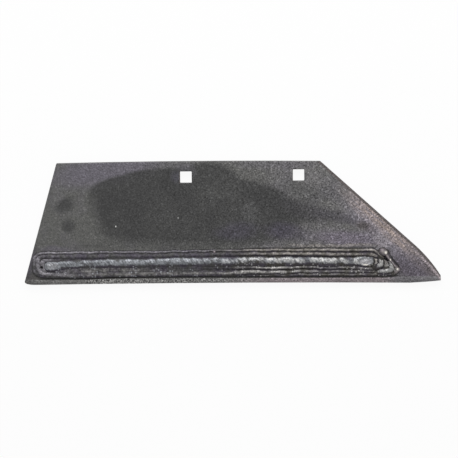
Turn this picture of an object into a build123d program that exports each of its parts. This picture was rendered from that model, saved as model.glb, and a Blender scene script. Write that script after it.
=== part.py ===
from build123d import *
import os
from math import cos, radians, sin, tan

# Hardfaced plough share. All sizes are in millimetres and all angles in degrees.
# Frame: +X along the share towards the nose tip, +Y towards the bolted edge, +Z out of the working face.
# The origin lies midway between the two bolt holes, on the back face.

# Flat bar
thickness = 11.0
wing_width = 149.7  # bolted edge to cutting edge at the wing end
nose_width = 151.2  # the same at the nose, where the bar is drawn a little wider
top_length = 323.0  # bolted edge, corner to corner
wing_reach = 227.1  # bolt row's middle to the wing end's upper corner
top_bow = 1.3  # weld shrinkage bows both long edges towards the bolts
edge_bow = 1.35
rim_radius = 0.9  # soft rim left by the shears on the bolted edge and the wing end

# Wing end
wing_lean = 16.3  # from square across the bar
corner_ease_side = 5.0  # lower corner, eased up the wing end and along the cutting edge
corner_ease_edge = 15.8

# Nose
nose_angle = 41.9  # nose edge below the bolted edge
nose_turn = 15.9  # how much further down the nose edge turns on its way to the tip
nose_radius = 180.0
tip_face = 6.1  # blunt end of the tip
tip_rise = 2.65  # the cutting edge lifts this far at the tip
tip_ease = 38.0  # over this length
tip_belly = 0.3
nose_bevel = 3.0  # bevel on the working face along the nose edge
nose_bevel_depth = 3.6

# Cutting edge
land_width = 6.2  # narrow ground land between the deposit and the edge
land_drop = 1.0
edge_thickness = 3.5
taper_width = 32.0  # the back is drawn thin over this width

# Square bolt holes
hole_size = 14.5
hole_corner = 0.8
hole_pitch = 138.2
hole_rise = 1.4  # the nose hole sits this much higher than the wing hole
bolt_inset = 17.4  # bolt row's middle to the ends of the bolted edge
hole_break = 0.9  # soft rim of the punched hole

# Hardfacing deposit, weld runs laid round and round and closed by a crown run
weld_margin = 0.5  # land to the toe of the outer run
wing_margin = 1.8  # wing edge to the middle of the outer run, at its upper row
weld_stop = 82.5  # tip to the end of the upper rows
outer_width = 6.4
outer_height = 2.0
outer_span = 29.9  # outer run, upper row to lower row
outer_bend = 11.0
second_width = 7.0
second_height = 2.9
run_pitch = 4.05  # outer run to second run
second_bend = 7.5
inner_width = 7.0
inner_height = 3.3
inner_drop = 6.2  # inner run below the middle of the deposit
inner_pitch = 5.6  # second run to inner run at the wing end
inner_hook = 40.0  # inner run turns back this far beside the crown
inner_lift = 2.8  # and this far above the crown's middle
inner_bend = 3.6
crown_width = 14.0
crown_height = 4.3
crown_lift = 2.4  # crown above the middle of the deposit
crown_inset = 8.0  # inner run's turn to the crown's first end
crown_sag = 3.6  # the crown starts this much lower, where it fills the wing end
crown_start = 14.0  # level part of that start
crown_climb = 22.0  # length over which it then rises to its own line
crown_bend = 30.0
crater_width = 15.0  # round-bottomed dishes that hollow the crown where it starts and stops
crater_length = 25.0
crater_rise = 3.2  # bottom of the dish to its open top
crater_depth = 1.6  # bottom of the dish below the crown's crest

# Nose end of the deposit: the rows turn down, then two pools and a slanting last run
turn_ahead = 8.5  # outer upper row turns down past the stop
turn_fall = 11.0
turn_bend = 6.0
turn_step = 3.0  # second row turns this much earlier
lower_ahead = 24.0  # lower outer row runs on past the stop
lower_step = 10.0  # second lower row ends this much earlier
inner_ahead = 6.0
first_pool_ahead = 5.4
first_pool_fall = 3.9
first_pool_radius = 8.0
first_pool_height = 3.4
second_pool_ahead = 18.7
second_pool_fall = 10.6
second_pool_radius = 8.2
second_pool_height = 3.0
ball_ahead = 11.4
ball_fall = 2.4
ball_radius = 5.4
ball_height = 4.0
finger_width = 6.2
finger_height = 2.3
blob_ahead = 29.2
blob_rise = 4.4  # above the lower outer row
blob_radius = 4.6
blob_height = 3.2

# Levels and lines that several pieces share
nose_edge_y = bolt_inset - nose_width
wing_edge_y = bolt_inset - wing_width
edge_y = (nose_edge_y + wing_edge_y) / 2 + edge_bow
land_y = edge_y + land_width
lower_outer_y = land_y + weld_margin + outer_width / 2
upper_outer_y = lower_outer_y + outer_span
deposit_y = (lower_outer_y + upper_outer_y) / 2
crown_y = deposit_y + crown_lift
tip_y = nose_edge_y + tip_rise
nose_drop = nose_width - tip_rise - tip_face
arc_drop = nose_radius * (cos(radians(nose_angle)) - cos(radians(nose_angle + nose_turn)))
arc_reach = nose_radius * (sin(radians(nose_angle + nose_turn)) - sin(radians(nose_angle)))
bend_x = top_length - wing_reach + (nose_drop - arc_drop) / tan(radians(nose_angle))
bend_y = tip_y + tip_face + arc_drop
tip_x = bend_x + arc_reach
stop_x = tip_x - weld_stop


def wing_x(y):
    # the wing end's slanted edge at height y
    return -wing_reach - (bolt_inset - y) * tan(radians(wing_lean))


def nose_point(turn):
    # a point of the nose curve, after it has turned by this angle
    heading = nose_angle + turn
    ahead = nose_radius * (sin(radians(heading)) - sin(radians(nose_angle)))
    fall = nose_radius * (cos(radians(nose_angle)) - cos(radians(heading)))
    return Vector(bend_x + ahead, bend_y - fall)


def plate_outline():
    wing_top = Vector(-wing_reach, bolt_inset)
    nose_top = Vector(top_length - wing_reach, bolt_inset)
    nose_bend = nose_point(0)
    tip_top = nose_point(nose_turn)
    tip_heel = Vector(tip_x, tip_y)
    edge_nose = Vector(tip_x - tip_ease, nose_edge_y)
    wing_foot = Vector(wing_x(wing_edge_y), wing_edge_y)
    edge_wing = wing_foot + Vector(corner_ease_edge, 0)
    wing_side = wing_foot + Vector(sin(radians(wing_lean)), cos(radians(wing_lean))) * corner_ease_side
    top_middle = (wing_top + nose_top) / 2 + Vector(0, top_bow)
    edge_middle = (edge_nose + edge_wing) / 2 + Vector(0, edge_bow)
    tip_middle = (tip_heel + edge_nose) / 2 - Vector(0, tip_belly)
    nose = Line(nose_top, nose_bend)
    return {
        "bolted edge": ThreePointArc(wing_top, top_middle, nose_top),
        "nose": nose,
        "nose curve": TangentArc(nose_bend, tip_top, tangent=nose % 1),
        "tip": Line(tip_top, tip_heel),
        "tip underside": ThreePointArc(tip_heel, tip_middle, edge_nose),
        "cutting edge": ThreePointArc(edge_nose, edge_middle, edge_wing),
        "wing corner": Bezier(edge_wing, wing_foot, wing_side),
        "wing end": Line(wing_side, wing_top),
    }


def rims(body, curves):
    # the working face's edges that lie over the given outline curves
    front = body.faces().sort_by(Axis.Z)[-1]
    lift = Vector(0, 0, thickness)
    return [front.edges().sort_by_distance(curve @ 0.5 + lift)[0] for curve in curves]


def across_bar(points):
    # a prism along the whole share from a section in Y and Z
    section = Plane.YZ * make_face(Polyline(*points, close=True))
    return extrude(section, amount=wing_reach + top_length + nose_width, both=True)


def land_cut():
    slope = land_drop / land_width
    beyond = land_width + taper_width
    low = thickness - slope * beyond
    return across_bar([(land_y, thickness), (land_y - beyond, thickness), (land_y - beyond, low)])


def taper_cut():
    slope = (thickness - land_drop - edge_thickness) / taper_width
    start = edge_y + taper_width
    beyond = 2 * taper_width
    return across_bar([(start, 0), (start - beyond, 0), (start - beyond, slope * beyond)])


def nose_bevel_cut():
    # a wedge that follows the nose edge and runs past both its ends
    nose_dir = Vector(cos(radians(nose_angle)), -sin(radians(nose_angle)))
    lift = Vector(0, 0, thickness)
    start = Vector(top_length - wing_reach, bolt_inset) - nose_dir * thickness + lift
    straight = Line(start, nose_point(0) + lift)
    curve = TangentArc(nose_point(0) + lift, nose_point(2 * nose_turn) + lift, tangent=nose_dir)
    outside = Plane(start, x_dir=Vector(0, 0, 1).cross(nose_dir), z_dir=nose_dir)
    fall = nose_bevel_depth / nose_bevel
    wedge = Polyline((-nose_bevel, 0), (thickness, 0), (thickness, -fall * (thickness + nose_bevel)), close=True)
    return sweep(outside * make_face(wedge), path=Wire([straight, curve]))


def bolt_hole(side):
    # a square punched through, with a soft rim on the working face
    centre = Pos(side * hole_pitch / 2, side * hole_rise / 2)
    mouth = hole_size + 2 * hole_break
    shaft = extrude(centre * RectangleRounded(hole_size, hole_size, hole_corner), amount=thickness)
    wide = centre * Pos(0, 0, thickness) * RectangleRounded(mouth, mouth, hole_corner + hole_break)
    narrow = centre * Pos(0, 0, thickness - hole_break) * RectangleRounded(hole_size, hole_size, hole_corner)
    return shaft + loft([narrow, wide])


def share_plate():
    outline = plate_outline()
    blank = extrude(make_face(list(outline.values())), amount=thickness)
    blank = fillet(rims(blank, [outline["bolted edge"], outline["wing end"]]), rim_radius)
    return blank - nose_bevel_cut() - land_cut() - taper_cut() - bolt_hole(-1) - bolt_hole(1)


def bead_side(width, height):
    # half of a bead's section, on the +X side of its middle, standing on the plate
    crest = ThreePointArc((width / 2, 0), bead_shoulder(width, height), (0, height))
    return make_face([Line((0, 0), (width / 2, 0)), crest, Line((0, height), (0, 0))])


def bead_shoulder(width, height):
    # a point of the bead's round back, halfway between its toe and its crest
    half = width / 2
    radius = (half**2 + height**2) / (2 * height)
    return (half / 2, (radius**2 - half**2 / 4) ** 0.5 - (radius - height))


def dome(x, y, radius, height):
    side = Plane.XZ * bead_side(2 * radius, height)
    return Pos(x, y, thickness) * revolve(side, Axis.Z)


def bead_run(points, bends, width, height):
    # a round-backed bead along the points: straight lengths, turned bends and domed ends
    lift = Vector(0, 0, thickness)
    stops = [Vector(*point) + lift for point in points]
    path = FilletPolyline(*stops, radius=bends) if bends else Line(*stops)
    side = bead_side(width, height)
    section = side + mirror(side, Plane.YZ)
    run = dome(*points[0], width / 2, height) + dome(*points[-1], width / 2, height)
    for length in path.edges():
        ahead = length % 0
        right = ahead.cross(Vector(0, 0, 1))
        profile = Plane(length @ 0, x_dir=right, z_dir=-ahead) * section
        if length.geom_type == GeomType.LINE:
            run += extrude(profile, amount=-length.length)
        else:
            pivot = Axis(length.arc_center, ahead.cross(length % 1))
            run += revolve(profile, pivot, ahead.get_angle(length % 1))
    return run


def outer_run():
    left = wing_x(upper_outer_y) + wing_margin
    points = [
        (stop_x + turn_ahead, upper_outer_y - turn_fall),
        (stop_x, upper_outer_y),
        (left, upper_outer_y),
        (left, lower_outer_y),
        (stop_x + lower_ahead, lower_outer_y),
    ]
    return bead_run(points, [turn_bend, outer_bend, outer_bend], outer_width, outer_height)


def second_run():
    left = wing_x(upper_outer_y) + wing_margin + run_pitch
    upper = upper_outer_y - run_pitch
    lower = lower_outer_y + run_pitch
    points = [
        (stop_x + turn_ahead - turn_step, upper - turn_fall + run_pitch),
        (stop_x - turn_step, upper),
        (left, upper),
        (left, lower),
        (stop_x + lower_ahead - lower_step, lower),
    ]
    return bead_run(points, [turn_bend, second_bend, second_bend], second_width, second_height)


def inner_run():
    left = wing_x(upper_outer_y) + wing_margin + run_pitch + inner_pitch
    low = deposit_y - inner_drop
    points = [
        (stop_x + inner_ahead, low),
        (left, low),
        (left, crown_y + inner_lift),
        (left + inner_hook, crown_y + inner_lift),
    ]
    return bead_run(points, [inner_bend, inner_bend], inner_width, inner_height)


def crater(x, y):
    # the hollow that a pool leaves as it freezes, dished into the crown's back
    reach = (crater_length - crater_width) / 2
    dish = bead_run([(x - reach, y), (x + reach, y)], None, crater_width, crater_rise)
    return Pos(0, 0, crown_height - crater_depth + crater_rise) * mirror(dish, Plane.XY.offset(thickness))


def crown_run():
    left = wing_x(upper_outer_y) + wing_margin + run_pitch + inner_pitch + crown_inset
    right = stop_x - crown_width / 2
    low = crown_y - crown_sag
    points = [
        (left, low),
        (left + crown_start, low),
        (left + crown_start + crown_climb, crown_y),
        (right, crown_y),
    ]
    crown = bead_run(points, [crown_bend, crown_bend], crown_width, crown_height)
    inset = (crater_length - crown_width) / 2
    return crown - crater(left + inset, low) - crater(right - inset, crown_y)


def last_run():
    ball = (stop_x + ball_ahead, upper_outer_y - ball_fall)
    blob = (stop_x + blob_ahead, lower_outer_y + blob_rise)
    finger = bead_run([ball, blob], None, finger_width, finger_height)
    return finger + dome(*ball, ball_radius, ball_height) + dome(*blob, blob_radius, blob_height)


def end_pools():
    first = dome(stop_x + first_pool_ahead, crown_y - first_pool_fall, first_pool_radius, first_pool_height)
    second = dome(stop_x + second_pool_ahead, crown_y - second_pool_fall, second_pool_radius, second_pool_height)
    return first + second


def hardfacing_weld():
    return outer_run() + second_run() + inner_run() + crown_run() + end_pools() + last_run()


os.makedirs("parts", exist_ok=True)
export_step(share_plate(), "parts/share_plate.step")
export_step(hardfacing_weld(), "parts/hardfacing_weld.step")
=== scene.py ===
import math
from functools import partial
import bpy
import bmesh
from mathutils import Matrix, Vector


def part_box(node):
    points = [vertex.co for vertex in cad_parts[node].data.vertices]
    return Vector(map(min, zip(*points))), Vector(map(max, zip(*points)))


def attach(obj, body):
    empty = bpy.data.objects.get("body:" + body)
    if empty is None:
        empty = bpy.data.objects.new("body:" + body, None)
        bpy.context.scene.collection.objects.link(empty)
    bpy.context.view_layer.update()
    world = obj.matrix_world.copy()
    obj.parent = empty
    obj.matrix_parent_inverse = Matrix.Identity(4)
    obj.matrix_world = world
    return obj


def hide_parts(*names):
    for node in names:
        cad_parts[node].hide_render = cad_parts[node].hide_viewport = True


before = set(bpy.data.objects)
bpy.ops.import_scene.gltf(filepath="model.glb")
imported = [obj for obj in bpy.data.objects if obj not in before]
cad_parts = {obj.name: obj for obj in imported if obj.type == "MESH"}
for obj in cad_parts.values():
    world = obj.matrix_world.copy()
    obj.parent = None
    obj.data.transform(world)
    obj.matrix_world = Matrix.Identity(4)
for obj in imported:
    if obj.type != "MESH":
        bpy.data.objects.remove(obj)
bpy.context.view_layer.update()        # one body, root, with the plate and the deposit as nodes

mm = 0.001
weldLow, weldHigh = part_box("hardfacing_weld")
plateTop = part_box("share_plate")[1][2]
noiseMean = (0.5, 0.5, 0.5)  # taken off a noise's colour, so that it pushes to all sides
eased = {"interpolation_type": "SMOOTHSTEP"}  # for ranges that start and end softly
through = 1000.0  # mm in z, so that a flat pattern runs through the whole thickness
patchEdge = (1.35, 0.4)  # how far out a patch ends, and where it is full


def linear(hexColour):
    # sRGB hex to the linear colour that the shaders take
    parts = [int(hexColour[i:i + 2], 16) / 255 for i in (1, 3, 5)]
    shades = [p / 12.92 if p <= 0.04045 else ((p + 0.055) / 1.055) ** 2.4 for p in parts]
    return (*shades, 1.0)


def addNode(tree, kind, inputs=(), **settings):
    # one node with its settings; inputs come by name or number, or as a list in the order of the sockets,
    # and each is a value, a socket, or a node whose first output is meant
    node = tree.nodes.new(kind)
    for key, value in settings.items():
        setattr(node, key, value)
    for key, value in inputs.items() if isinstance(inputs, dict) else enumerate(inputs):
        if isinstance(value, bpy.types.Node):
            value = value.outputs[0]
        if isinstance(value, bpy.types.NodeSocket):
            tree.links.new(value, node.inputs[key])
        else:
            node.inputs[key].default_value = value
    return node


def newMaterial(name):
    material = bpy.data.materials.new(name)
    material.use_nodes = True
    material.node_tree.nodes.clear()
    return material, material.node_tree


def ownPlace(tree):
    # the point on the surface in mm, in the object's own frame
    own = addNode(tree, "ShaderNodeTexCoord").outputs["Object"]
    return addNode(tree, "ShaderNodeVectorMath", [own, (1 / mm, 1 / mm, 1 / mm)], operation="MULTIPLY")


def ellipse(tree, place, middle, size, turn=0.0):
    # how far a point lies out from a spot: 0 in its middle, 1 on its edge
    turned = (0, 0, math.radians(turn))
    spot = addNode(tree, "ShaderNodeMapping", [place, (*middle, 0), turned, (*size, through)],
                   vector_type="TEXTURE")
    return addNode(tree, "ShaderNodeVectorMath", [spot], operation="LENGTH").outputs["Value"]


def coverSpots(tree, place, spots, outside, inside):
    # full in any of the spots, and fading out past their edges
    cover = 0.0
    for spot in spots:
        near = addNode(tree, "ShaderNodeMapRange", [ellipse(tree, place, *spot), outside, inside], **eased)
        cover = addNode(tree, "ShaderNodeMath", [cover, near], operation="MAXIMUM")
    return cover


def layCoats(tree, colour, coats):
    # coats of other colours, one over the other, each with its own cover
    for cover, shade in coats:
        shade = linear(shade) if isinstance(shade, str) else shade
        colour = addNode(tree, "ShaderNodeMix", {0: cover, 6: colour, 7: shade}, data_type="RGBA").outputs[2]
    return colour


def layPatches(tree, place, colour, patches):
    # soft-edged patches of other shades, one over the other
    for shade, strength, middle, size, turn in patches:
        out = ellipse(tree, place, middle, size, turn)
        cover = addNode(tree, "ShaderNodeMapRange", [out, *patchEdge, 0, strength], **eased)
        colour = layCoats(tree, colour, [(cover, shade)])
    return colour


def handLine(tree, x, points, low, high):
    # a line drawn through given points over x, as a curve node; its values lie between low and high
    left, right = points[0][0], points[-1][0]
    along = addNode(tree, "ShaderNodeMapRange", [x, left, right])
    curve = addNode(tree, "ShaderNodeFloatCurve", {"Value": along})
    line = curve.mapping.curves[0]
    places = [((px - left) / (right - left), (py - low) / (high - low)) for px, py in points]
    line.points[0].location = places[0]
    line.points[1].location = places[-1]
    for place in places[1:-1]:
        line.points.new(*place)
    curve.mapping.update()
    return addNode(tree, "ShaderNodeMapRange", [curve, 0, 1, low, high])


# Camera: almost straight down on the working face, a little from the bolted side
cameraView = {
    "aim": (-16.8, -64.7, 11.0),  # mm, the point in the middle of the picture
    "distance": 1600.0,
    "tilt": 7.0,  # degrees, towards the bolted side
    "roll": 0.52,
    "mmPerPixel": 1.2285,
    "pixels": 458,
    "sensor": 36.0,
    "farthest": 50.0,  # m, well past the floor's edge
}


def placeCamera():
    v = cameraView
    data = bpy.data.cameras.new("photoCamera")
    data.sensor_width = v["sensor"]
    data.lens = v["sensor"] * v["distance"] / (v["pixels"] * v["mmPerPixel"])
    data.clip_end = v["farthest"]
    camera = bpy.data.objects.new("photoCamera", data)
    bpy.context.collection.objects.link(camera)
    aim = Matrix.Translation(Vector(v["aim"]) * mm)
    tilt = Matrix.Rotation(math.radians(-v["tilt"]), 4, "X")
    roll = Matrix.Rotation(math.radians(-v["roll"]), 4, "Z")
    camera.matrix_world = aim @ tilt @ roll @ Matrix.Translation((0, 0, v["distance"] * mm))
    bpy.context.scene.camera = camera
    bpy.context.scene.view_settings.view_transform = "Standard"
    print("camera placed, lens", round(data.lens, 2))


# Light: an even pale room with one soft lamp on the bolted side
studio = {
    "roomColour": "#ffffff",
    "roomStrength": 0.4,
    "lampPlace": (0.0, 1.2, 1.4),
    "lampSize": (2.0, 1.0),
    "lampPower": 28.0,
    "paper": "#f6f6f6",
    "white": "#ffffff",
    "floorSize": 12.0,
    "floorDrop": 0.0002,  # under the back face, so that the two never share a plane
    "floorWhite": 0.93,  # share of the floor's own white in the picture; the rest is lit and keeps the shadow
}


def lightStudio():
    s = studio
    world = bpy.data.worlds.new("paleRoom")
    bpy.context.scene.world = world
    world.use_nodes = True
    world.node_tree.nodes.clear()
    room = addNode(world.node_tree, "ShaderNodeBackground",
                   {"Color": linear(s["roomColour"]), "Strength": s["roomStrength"]})
    addNode(world.node_tree, "ShaderNodeOutputWorld", {"Surface": room})
    data = bpy.data.lights.new("softLamp", "AREA")
    data.shape = "RECTANGLE"
    data.size, data.size_y = s["lampSize"]
    data.energy = s["lampPower"]
    lamp = bpy.data.objects.new("softLamp", data)
    lamp.location = s["lampPlace"]
    aim = Vector(cameraView["aim"]) * mm - lamp.location
    lamp.rotation_euler = aim.to_track_quat("-Z", "Y").to_euler()
    bpy.context.collection.objects.link(lamp)
    print("studio lit")


def whitePaper():
    # smooth white paper: reads white in the picture, and the object's shadow stays on it
    material, tree = newMaterial("whitePaper")
    path = addNode(tree, "ShaderNodeLightPath").outputs
    seen = path["Is Camera Ray"]
    for ray in ("Is Glossy Ray", "Is Transmission Ray"):
        seen = addNode(tree, "ShaderNodeMath", [seen, path[ray]], operation="MAXIMUM")
    share = addNode(tree, "ShaderNodeMath", [seen, studio["floorWhite"]], operation="MULTIPLY")
    lit = addNode(tree, "ShaderNodeBsdfDiffuse", {"Color": linear(studio["paper"])})
    white = addNode(tree, "ShaderNodeEmission", {"Color": linear(studio["white"]), "Strength": 1.0})
    both = addNode(tree, "ShaderNodeMixShader", [share, lit, white])
    addNode(tree, "ShaderNodeOutputMaterial", {"Surface": both})
    return material


def layFloor():
    half = studio["floorSize"] / 2
    mesh = bpy.data.meshes.new("floor")
    corners = [(-half, -half, 0), (half, -half, 0), (half, half, 0), (-half, half, 0)]
    mesh.from_pydata(corners, [], [(0, 1, 2, 3)])
    floor = bpy.data.objects.new("floor", mesh)
    floor.location.z = -studio["floorDrop"]
    bpy.context.collection.objects.link(floor)
    mesh.materials.append(whitePaper())
    print("floor laid")


# Plate: hot-rolled share steel; places and sizes in mm on the working face
plateLook = {
    "greyWing": "#5d5d5b",
    "greyNose": "#666564",
    "violet": "#67646b",
    "cut": "#4b4a49",  # the sides
    # size in mm, detail and roughness; the grain is drawn coarser than real scale grain, so that it shows
    "noise": {"wander": (24.0, 5.0, 0.65), "cloud": (34.0, 4.0, 0.5), "grain": (1.45, 2.0, 0.7)},
    "fleck": 1.5,  # mm, size of the light flecks
    "bump": {"Strength": 0.35, "Distance": 0.4 * mm},
    "finish": {"Metallic": 0.2, "Roughness": 0.58},
    "drift": 12.0,  # mm that the edges of the colours wander
    "calmDrift": (0.35, 0.35),  # share of it that the stain's edges keep
    "stain": "#3c3c3c",
    "stainTop": [(-215, -30), (-188, -14.5), (-172, -4.8), (-149, 3), (-126, 8.5), (-100, 11), (-72, 13),
                 (-56, 17.5), (-30, 17.5), (-14, 10), (1, -1), (20, -5), (37, -10), (55, -23), (95, -62)],
    "stainBottom": [(-215, -84), (-165, -80), (-130, -84), (9, -88), (40, -80), (62, -68), (95, -50)],
    "stainReach": (-110.0, 30.0),  # lowest and highest y that the lines can take
    "stainBelow": -2.5,  # mm from the upper line to where the stain starts
    "stainSlope": 0.3,  # of its end by the wing
    # heat tints under the stain: colour, strength, middle, half size, turn
    "tints": [
        ("#69656f", 0.8, (-166, 8), (76, 19), 8),
        ("#69666d", 0.5, (45, 15), (55, 7), 0),
    ],
    # patches over the stain, given the same way
    "patches": [
        ("#585857", 0.25, (-28, -20), (30, 10), 6),
        ("#5a5a5a", 0.55, (9, -44), (10, 16), 0),
        ("#3c3c3c", 0.6, (50, -34), (26, 16), -22),
        ("#424143", 0.85, (77, -42), (34, 13), -20),
        ("#48464b", 0.75, (119, -51), (36, 7), -14),
        ("#47434d", 0.75, (55, -69.5), (29, 11.5), -6),
        ("#656369", 0.5, (-69, 12.5), (12, 6.5), 0),
        ("#55535f", 0.4, (-80, 0), (7, 8), 0),
        ("#706e70", 0.5, (85, -4), (17, 10), 0),
        ("#58575a", 0.4, (-59.5, 7), (5, 9), 0),
        ("#4f4f4e", 0.5, (-120, -84), (110, 6), 0),
        ("#47444e", 0.7, (-8, -68), (28, 11), 5),
        ("#47444e", 0.6, (50, -66), (15, 9), 0),
        ("#4f4e51", 0.5, (107, -23), (20, 8), -22),
        ("#515151", 0.6, (74, -20), (30, 11), -24),
        ("#716a76", 0.8, (132, -78.5), (48, 10.5), -5),
        ("#424242", 0.95, (-217, -34.5), (13, 8.5), 28),
        ("#444444", 0.95, (-215, -59), (9, 9.5), 0),
        ("#524c55", 0.95, (208, -112), (38, 20), -40),
        ("#4d4953", 0.75, (-263, -108), (7, 22), -16),
        ("#625e68", 0.6, (-232, -88.5), (20, 5), 0),
        ("#8e8884", 0.6, (112, -86.4), (66, 2.0), 0),
        ("#d0d0ce", 1.0, (-155.7, -59.7), (1.2, 0.9), 0),
        ("#b4b4b2", 1.0, (-79.7, -51.6), (1.0, 1.0), 0),
    ],
    # the same, over the tints of the nose
    "marks": [
        ("#4c4644", 0.75, (148.5, -61.5), (10, 7), -20),
        ("#5d565b", 0.6, (158, -68.5), (9, 6), -35),
        ("#918b90", 0.6, (171, -81), (13, 8), -30),
        ("#5b5458", 0.5, (232, -118), (12, 9), -40),
        ("#444241", 0.8, (-256, -123.5), (15, 7.5), 0),
    ],
    "noseCorner": (95.9, 17.4),
    "noseAngle": 41.9,
    "noseBend": 156.3,  # mm along the straight edge to where it turns down
    "noseRadius": 180.0,
    "noseGlow": "#9c8e88",
    "noseHaze": "#85808a",
    "noseStreak": (2.4, 26.0),  # width and length of the grinding streaks
    "bevel": "#57504f",  # along the nose edge
    "tipEdgeHighlight": "#b3a8ac",  # painted highlight along the nose edge by the tip
    "landWing": "#747372",
    "landNose": "#8b8285",
    "landTip": "#747275",
    # soot, and painted shadow under the deposit's lower toe
    "sootShadeColour": "#1d1c1c",
    "sootShadeReach": (-130.0, -80.0),  # lowest and highest y that its lines can take
    "sootShadeEdge": (1.4, 0.6),  # shares of the half width where it ends and is full
    "sootShadeFade": 2.0,  # mm at the ends of a line
    # soot beside the deposit, with painted shadow under its lower toe: half width, strength and the line that
    # it follows
    "sootShadeLines": [
        (1.05, 0.85, [(-250, -124.8), (-207, -125.0), (-152, -124.0), (-90, -124.0), (-34, -124.4),
                      (33, -125.0), (95, -125.4), (145, -125.7), (182, -125.5), (193, -123.6)]),
        (0.8, 0.5, [(12, -88.6), (90, -88.9), (164, -89.0)]),
        (1.6, 0.9, [(177.0, -90.6), (179.6, -94.4), (182.8, -101.2), (188.2, -108.2), (191.9, -113.0),
                    (193.9, -116.4), (195.2, -120.3)]),
    ],
    "landLines": (22.0, 1.1),  # length and width of the lines drawn along the land
    # how light the land is over x
    "landLight": [(-262, 0.7), (-240, 0.88), (-200, 0.95), (-176, 1.18), (-135, 1.18), (-90, 0.98), (-20, 0.98),
                  (60, 1.03), (190, 0.98), (212, 1.08), (240, 1.08)],
    "landLightReach": (0.5, 1.5),
    # ranges: from, to, and what they turn into where that isn't 0 to 1
    "spans": {
        "noseward": (-60, 70), "violet": (0.5, 0.68, 0, 0.4),
        "stainFade": (-90, 0, 3.2, 8), "stainWorn": (0.35, 0.65, 0.82, 1), "stainAbove": (-6, 12),
        "stainSide": (-205, -183),
        "noseRise": (25, 95), "noseFall": (130, 180, 1, 0.3), "noseHaze": (40, 12, 0, 0.85),
        "noseGlow": (22, 7), "noseStreak": (0.36, 0.62, 0.3, 1),
        "land": (-124.8, -126.4), "landLit": (-127.4, -131.2, 1.12, 0.8), "landDrawn": (0.3, 0.7, -0.22, 0.22),
        "landPinker": (-25, 35), "landGreyer": (172, 190),
        "bevelOutward": (0.25, 0.4), "bevelLeaning": (0.3, 0.45),
        # where the painted highlight along the nose edge by the tip lies
        "tipHighlightStart": (158, 182), "tipHighlightInset": (165, 205, 5.2, 2.9), "tipHighlightWidth": (2, 0.5, 0, 0.85),
        "upward": (0.2, 0.5), "downward": (-0.2, -0.5),
        "grainPlate": (-235, 60, 2, 4.4), "grainLand": (-60, 20, 8.5, 3.4),
        "grainLandStart": (-205, -185, 0.45, 1), "fleck": (0.84, 1, 0, 0.25),
    },
}


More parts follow.
